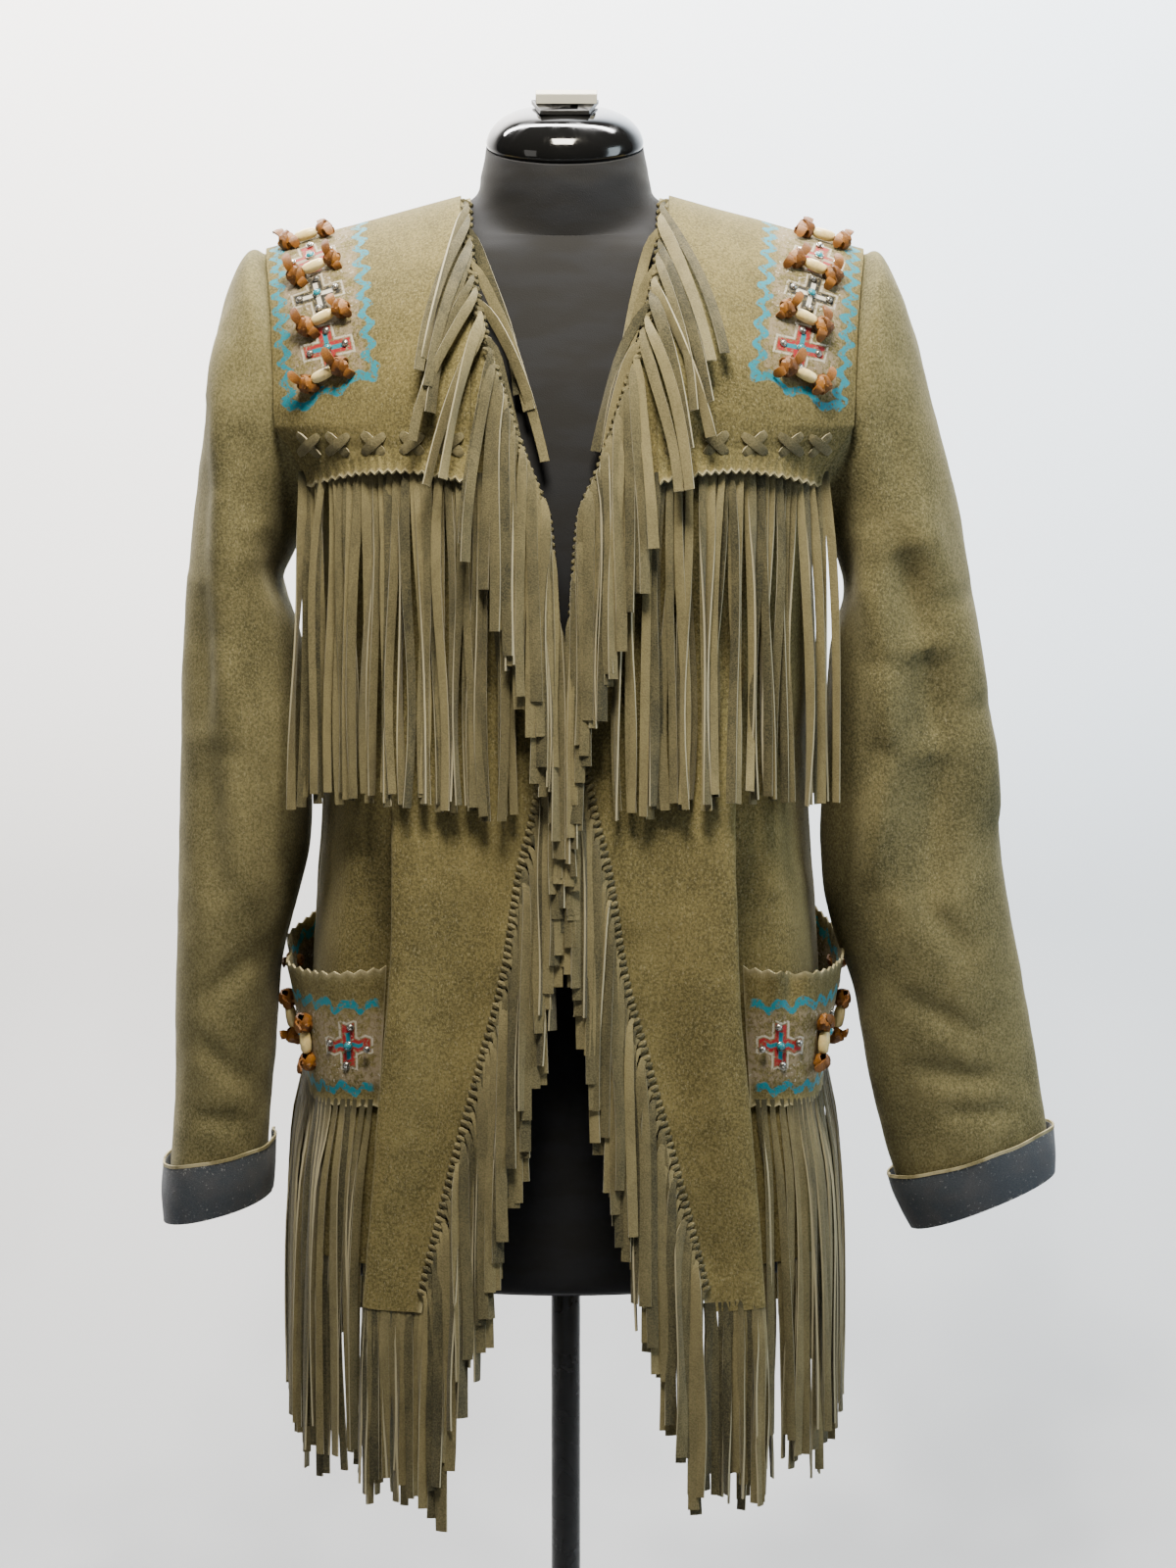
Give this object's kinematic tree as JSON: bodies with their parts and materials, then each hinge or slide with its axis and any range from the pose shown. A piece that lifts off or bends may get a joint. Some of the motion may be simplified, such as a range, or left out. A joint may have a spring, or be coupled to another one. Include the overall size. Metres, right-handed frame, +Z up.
{
  "type": "fringed suede jacket on a dress form with a stand",
  "caption": "Open-fronted olive suede jacket with long cut fringe, painted and beaded shoulder yokes and hip pockets, shown on a black dress form on a round stand.",
  "frame": {"origin": "centre of the stand base's underside, on the floor", "axes": "+Z up, -Y the way the jacket faces, +X the wearer's left, which is on the right when seen from the front"},
  "size_m": [0.5953, 0.34, 1.5171],
  "materials": {
    "olive_suede": "olive green suede with a short brushed nap",
    "fringe_suede": "thin cut suede strands, a little smoother and lighter than the panels",
    "cuff_lining": "dark grey flecked lining on the turned-back cuffs",
    "bone_bead": "polished bone barrel beads between knots of rust leather thong",
    "black_jersey": "black stretch jersey over the dress form",
    "gloss_black": "high gloss black",
    "satin_black": "satin black",
    "cream_plastic": "matt cream",
    "black_steel": "black enamel"
  },
  "bodies": {
    "root": {"back": "olive_suede", "front_left": "olive_suede", "sleeve_left": "olive_suede", "cuff_left": "cuff_lining", "yoke_left": "olive_suede", "pocket_left": "olive_suede", "chest_fringe_left": "fringe_suede", "edge_fringe_upper_left": "fringe_suede", "edge_fringe_lower_left": "fringe_suede", "pocket_fringe_left": "fringe_suede", "hem_fringe_front_left": "fringe_suede", "hem_fringe_side_left": "fringe_suede", "front_right": "olive_suede", "sleeve_right": "olive_suede", "cuff_right": "cuff_lining", "yoke_right": "olive_suede", "pocket_right": "olive_suede", "chest_fringe_right": "fringe_suede", "edge_fringe_upper_right": "fringe_suede", "edge_fringe_lower_right": "fringe_suede", "pocket_fringe_right": "fringe_suede", "hem_fringe_front_right": "fringe_suede", "hem_fringe_side_right": "fringe_suede", "hem_fringe_back": "fringe_suede", "shoulder_toggle_left_1": "bone_bead", "shoulder_toggle_left_2": "bone_bead", "shoulder_toggle_left_3": "bone_bead", "shoulder_toggle_left_4": "bone_bead", "pocket_toggle_left_1": "bone_bead", "pocket_toggle_left_2": "bone_bead", "pocket_toggle_left_3": "bone_bead", "lacing_left_1": "olive_suede", "lacing_left_2": "olive_suede", "lacing_left_3": "olive_suede", "lacing_left_4": "olive_suede", "lacing_left_5": "olive_suede", "shoulder_toggle_right_1": "bone_bead", "shoulder_toggle_right_2": "bone_bead", "shoulder_toggle_right_3": "bone_bead", "shoulder_toggle_right_4": "bone_bead", "pocket_toggle_right_1": "bone_bead", "pocket_toggle_right_2": "bone_bead", "pocket_toggle_right_3": "bone_bead", "lacing_right_1": "olive_suede", "lacing_right_2": "olive_suede", "lacing_right_3": "olive_suede", "lacing_right_4": "olive_suede", "lacing_right_5": "olive_suede", "form_torso": "black_jersey", "neck_cap": "gloss_black", "neck_plate": "satin_black", "neck_block": "cream_plastic", "stand_pole": "black_steel", "stand_hub": "black_steel", "stand_base": "black_steel"}
  },
  "joints": []
}
